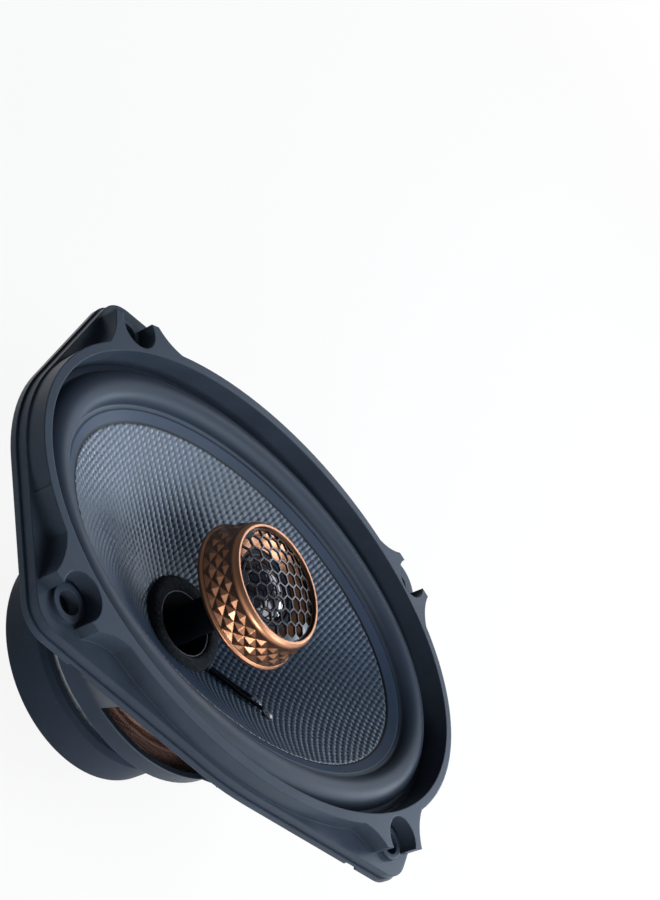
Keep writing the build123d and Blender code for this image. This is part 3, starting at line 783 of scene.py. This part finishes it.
def makeRoll():
    look = rollShape
    outX, outY, lowZ = halfSize("surround")
    half, sheet, rise = look["halfWidth"], look["sheet"], look["height"] - look["sheet"]
    pathX = outX - half - look["foot"]
    pathY = outY - half - look["foot"]
    top = arcPoints(0, 0, 1, 176, 4, look["arcSteps"]) * (half, rise) + (0, sheet)
    under = arcPoints(0, 0, 1, 2, 178, look["arcSteps"]) * (half - sheet, rise)
    small, footEnd, edge = look["rounding"], half + look["foot"], look["footEdge"]
    foot = np.array([
        (half + 2.5 * small, sheet + 0.5 * small),
        (half + 8 * small, sheet),
        (footEnd - edge, sheet),
        (footEnd, sheet - edge),
        (footEnd, 0.0),
        (half + edge, 0.0),
    ])
    # the inner lip is glued over the flat edge of the cone
    lipEnd, lipLow, thick = -half - look["lip"], look["lipLow"], look["lipThick"]
    lip = np.array([
        (-half + small, 0.0),
        (-half - 0.5 * small, 3 * small),
        (-half - small, lipLow),
        (lipEnd + small, lipLow),
        (lipEnd, lipLow + thick / 2),
        (lipEnd + 1.5 * small, lipLow + thick),
        (-half - 2.5 * small, sheet - small),
    ])
    offset, height = np.concatenate([top, foot, under, lip]).T
    angle = roundAngles(look["round"])
    normal = np.stack([pathY * np.cos(angle), pathX * np.sin(angle)], -1)
    normal /= np.linalg.norm(normal, axis=1)[:, None]
    path = np.stack([pathX * np.cos(angle), pathY * np.sin(angle)], -1)
    flat = path[None] + offset[:, None, None] * normal[None]
    level = np.repeat((lowZ + height)[:, None], look["round"], axis=1)[..., None]
    points = np.concatenate([flat, level], -1)
    roll = addLoopSheet("rubberRoll", points, finishes["rubber"])
    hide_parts("surround")
    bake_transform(roll)
    blendRound((offset + half) / (2 * half))


makeRoll()
print("rubber roll made")

# felt collar at the neck
feltRing = {
    "round": 420,
    "rows": 46,
    "fuzz": 0.112 * mm,
    "corner": 2.4 * mm,
    "boreGap": 0.05 * mm,
    "inset": 0.15 * mm,
    "footSink": 0.4 * mm,
    "seed": 7,
}


def makeFeltCollar():
    look = feltRing
    outer = halfSize("neck_collar")[0]
    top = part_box("neck_collar")[1].z
    inner = neckRadius + look["boreGap"]
    corner, bend = look["corner"], look["corner"] - look["inset"]
    foot = neckZ + (outer - neckRadius) / (weaveX - neckRadius) * (weaveZ - neckZ) + coneSheet
    sideX, boreX = outer - look["inset"], inner + look["inset"]
    profile = np.concatenate([
        [(sideX, foot - look["footSink"]), (sideX, (foot + top - corner) / 2)],
        arcPoints(outer - corner, top - corner, bend, 0, 90, look["rows"] // 2),
        arcPoints(inner + corner, top - corner, bend, 90, 180, look["rows"] // 2),
        [(boreX, top - 2 * corner), (boreX, neckZ + coneSheet)],
    ])
    points = turnProfile(profile, look["round"])
    # fuzz pushes each point away from the core of the ring, apart from the two ends
    fuzz = np.random.default_rng(look["seed"]).normal(0, 1, points.shape[:2])
    fuzz = (fuzz + np.roll(fuzz, 1, 1) + np.roll(fuzz, -1, 1)) / 3 * look["fuzz"]
    fuzz[[0, -1]] = 0
    core = points * (1, 1, 0)
    core *= (outer + inner) / 2 / np.linalg.norm(core, axis=2)[..., None]
    core[..., 2] = top - corner
    outward = points - core
    outward /= np.linalg.norm(outward, axis=2)[..., None] + 1e-9
    points = points + outward * fuzz[..., None]
    points[..., 2] = np.minimum(points[..., 2], top)
    return addLoopSheet("feltCollar", points, finishes["felt"])


feltCollar = makeFeltCollar()
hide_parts("neck_collar")
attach(feltCollar, "cone_assembly")
print("felt collar made")

# corrugated cloth spider
spiderShape = {
    "round": 480,
    "rolls": 5,
    "rowsPerRoll": 12,
    "wave": 1.5 * mm,
    "sheet": 0.6 * mm,
    "land": 6.3 * mm,  # flat rim that is glued to the frame
    "neckPlay": 0.3 * mm,
}


def makeSpider():
    look = spiderShape
    outer, _, lowZ = halfSize("spider")
    inner = neckRadius + look["neckPlay"]
    flat = lowZ + look["wave"]
    rollOuter = outer - look["land"]
    share = np.linspace(0, 1, look["rolls"] * look["rowsPerRoll"] + 1)
    radius = rollOuter + (inner - rollOuter) * share
    height = flat + look["wave"] * np.sin(2 * math.pi * share * look["rolls"])
    lower = np.concatenate([[(outer, flat)], np.stack([radius, height], -1)])
    profile = np.concatenate([lower, lower[::-1] + (0, look["sheet"])])
    points = turnProfile(profile, look["round"])
    cloth = addLoopSheet("spiderCloth", points, finishes["spider_cloth"])
    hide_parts("spider")
    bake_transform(cloth)
    blendRound((profile[:, 0] - inner) / (rollOuter - inner))


makeSpider()
print("spider made")


# solder on the two eyelets
solderDrops = {
    "size": 1.9 * mm,
    "flatness": 0.5,
    "twoLumps": 0.11,
    "threeLumps": 0.088,
    "dents": 0.15,
    "rings": 14,
    "turns": 36,
    "lift": 0.1 * mm,
    "sink": 0.5 * mm,
    "seed": 4,
}


def coneFace(x, y, lift):  # point on the cone's face above x, y, and the face's outward direction
    def height(px, py):  # halves the range 40 times to find the oval that runs through the point
        low, high = 0.0, 1.0
        for _ in range(40):
            share = (low + high) / 2
            halfX, halfY, _ = coneOval(share)
            if math.hypot(px / halfX, py / halfY) > 1:
                low = share
            else:
                high = share
        return coneOval(low)[2]

    step = 0.05 * mm
    slopeX = (height(x + step, y) - height(x - step, y)) / (2 * step)
    slopeY = (height(x, y + step) - height(x, y - step)) / (2 * step)
    return Vector((x, y, height(x, y) + lift)), Vector((-slopeX, -slopeY, 1)).normalized()


def eyeletCentres():
    points = np.array([vertex.co for vertex in nodes["lead_eyelets"].data.vertices])
    offsets = points - points.mean(axis=0)
    direction = np.linalg.svd(offsets, full_matrices=False)[2][0]
    side = offsets @ direction
    return [points[side < 0].mean(axis=0), points[side > 0].mean(axis=0)]


def makeSolderDrop(name, centre, seed):
    look = solderDrops
    place, outward = coneFace(float(centre[0]), float(centre[1]), coneSheet + skinSheet)
    random = np.random.default_rng(seed)
    rise = np.linspace(0.02, math.pi / 2, look["rings"])[:, None]
    angle = roundAngles(look["turns"])[None, :]
    twoLumps = look["twoLumps"] * np.sin(2 * angle + random.uniform(0, 6))
    threeLumps = look["threeLumps"] * np.sin(3 * angle + 5 * rise + random.uniform(0, 6))
    dents = look["dents"] * np.sin(4 * angle + random.uniform(0, 6)) * np.sin(rise)
    reach = look["size"] * np.sin(rise) * (1 + twoLumps + threeLumps)
    height = look["size"] * look["flatness"] * np.cos(rise) * (1 + dents) + look["lift"]
    sideways = outward.orthogonal().normalized()
    endways = outward.cross(sideways)
    sideways, endways, outward = (np.array(axis) for axis in (sideways, endways, outward))
    around = np.cos(angle)[..., None] * sideways + np.sin(angle)[..., None] * endways
    points = np.array(place) + reach[..., None] * around + height[..., None] * outward
    points = np.concatenate([points, points[-1:] - look["sink"] * outward])
    return addLoopSheet(name, points, finishes["eyelet_metal"])


for number, centre in enumerate(eyeletCentres()):
    drop = makeSolderDrop("solderDrop" + "AB"[number], centre, solderDrops["seed"] + number)
    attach(drop, "cone_assembly")
print("solder made")

# camera
cameraPlace = {
    "place": (-0.342, -0.355, 0.398),
    "aim": (0.0379, 0.103, 0.0796),
    "up": (-0.57, 0.734, 0.37),
    "lens": 62.9,
    "sensorHeight": 36,
    "clipStart": 0.01,
}


def makeCamera():
    look = cameraPlace
    data = bpy.data.cameras.new("camera")
    data.sensor_fit = "VERTICAL"
    data.sensor_height = look["sensorHeight"]
    data.lens = look["lens"]
    data.clip_start = look["clipStart"]
    camera = placeObject("camera", data)
    place = Vector(look["place"])
    back = (place - Vector(look["aim"])).normalized()
    right = Vector(look["up"]).cross(back).normalized()
    camera.matrix_world = Matrix((right, back.cross(right), back)).transposed().to_4x4()
    camera.location = place
    bpy.context.scene.camera = camera


# lamps, all square and aimed at the part
lampAim = Vector((0, 0, 0.06))
lampSet = {
    "keyBox": {"place": (0.66, -0.26, 0.86), "size": 0.7, "watts": 9.0, "colour": (0.9, 0.95, 1.0)},
    "endBox": {"place": (0.95, 0.35, 0.42), "size": 0.28, "watts": 4.0, "colour": (0.78, 0.89, 1.0)},
    "lowBox": {"place": (0.03, -0.9, 0.4), "size": 0.24, "watts": 3.8, "colour": (1.0, 0.97, 0.93)},
    "rimBox": {"place": (0.62, 0.74, 0.6), "size": 0.45, "watts": 2.2, "colour": (0.84, 0.92, 1.0)},
}


def makeLamps():
    for name, look in lampSet.items():
        data = bpy.data.lights.new(name, "AREA")
        data.shape = "SQUARE"
        data.size = look["size"]
        data.energy = look["watts"]
        data.color = look["colour"]
        lamp = placeObject(name, data)
        lamp.location = look["place"]
        lamp.rotation_euler = (lampAim - lamp.location).to_track_quat("-Z", "Y").to_euler()


# surroundings
backdrop = {
    "worldLight": 0.14,  # what lights the part
    "worldColour": (0.93, 0.96, 1),
    "cameraWhite": 1.0,  # what the camera and the reflections see
    "wallTop": 0.48,
    "ceilingStart": 0.74,
    "ceiling": 0.08,
    "dimSide": (-0.72, 0.69, 0),  # direction of the dim wall
    "dimStart": -0.3,
    "dimEnd": 0.5,
    "dimWall": 0.08,
    "floorColour": 0.86,
    "floorRough": 0.9,
    "floorWhiteShare": 0.89,  # under the part, the rest shows its shadow
    "fadeStart": 0.3,  # metres from the part where the shadow starts to fade, and where it ends
    "fadeEnd": 1.6,
    "floorSize": 12.0,
}


def seenRay(maker, glossyShare=None):
    # 1 for the rays that show the white surroundings, 0 for those that light the part
    rays = maker.add("ShaderNodeLightPath").outputs
    glossy = rays["Is Glossy Ray"]
    if glossyShare is not None:
        glossy = maker.maths("MULTIPLY", glossy, glossyShare)
    direct = maker.maths("MAXIMUM", rays["Is Camera Ray"], rays["Is Transmission Ray"])
    return maker.maths("MAXIMUM", direct, glossy)


def studioWalls(maker):  # white walls near the floor, a dim ceiling and one dim side
    look = backdrop
    place = maker.add("ShaderNodeTexCoord").outputs["Generated"]
    split = maker.add("ShaderNodeSeparateXYZ")
    maker.link(place, split.inputs[0])
    upward = split.outputs["Z"]
    toward = maker.vectorMaths("DOT_PRODUCT", place, look["dimSide"])
    wall = maker.fade(upward, 1.0, look["ceiling"], look["wallTop"], look["ceilingStart"])
    side = maker.fade(toward, 1.0, look["dimWall"], look["dimStart"], look["dimEnd"])
    return maker.maths("MULTIPLY", wall, side)


def makeWorld():
    look = backdrop
    world = bpy.data.worlds.new("studio")
    bpy.context.scene.world = world
    world.use_nodes = True
    maker = TreeMaker(world.node_tree)
    light = maker.tree.nodes["Background"]
    white = maker.add("ShaderNodeBackground")
    white.inputs["Color"].default_value = (1, 1, 1, 1)
    white.inputs["Strength"].default_value = look["cameraWhite"]
    light.inputs["Color"].default_value = (*look["worldColour"], 1)
    light.inputs["Strength"].default_value = look["worldLight"]
    share = seenRay(maker, studioWalls(maker))
    surface = maker.mixShaders(share, light.outputs[0], white.outputs[0])
    maker.link(surface, maker.tree.nodes["World Output"].inputs["Surface"])


def makeFloor():
    look = backdrop
    half = look["floorSize"] / 2
    corners = [(-half, -half, 0), (half, -half, 0), (half, half, 0), (-half, half, 0)]
    mesh = bpy.data.meshes.new("floor")
    mesh.from_pydata(corners, [], [(0, 1, 2, 3)])
    floor = placeObject("floor", mesh)
    maker = FinishMaker("floorPaper")
    maker.set(
        Base_Color=(look["floorColour"],) * 3,
        Roughness=look["floorRough"],
        Specular_IOR_Level=0.0,
    )
    white = maker.add("ShaderNodeEmission").outputs[0]
    # fully white away from the part, so that the floor has no edge against the world
    distance = maker.vectorMaths("LENGTH", maker.place)
    whiter = maker.fade(distance, look["floorWhiteShare"], 1.0, look["fadeStart"], look["fadeEnd"])
    share = maker.maths("MULTIPLY", seenRay(maker), whiter)
    surface = maker.mixShaders(share, maker.shader.outputs[0], white)
    maker.link(surface, maker.tree.nodes["Material Output"].inputs["Surface"])
    mesh.materials.append(maker.finish)


makeCamera()
makeLamps()
makeWorld()
makeFloor()
bpy.context.scene.view_settings.view_transform = "Standard"
print("camera, lamps and floor set")
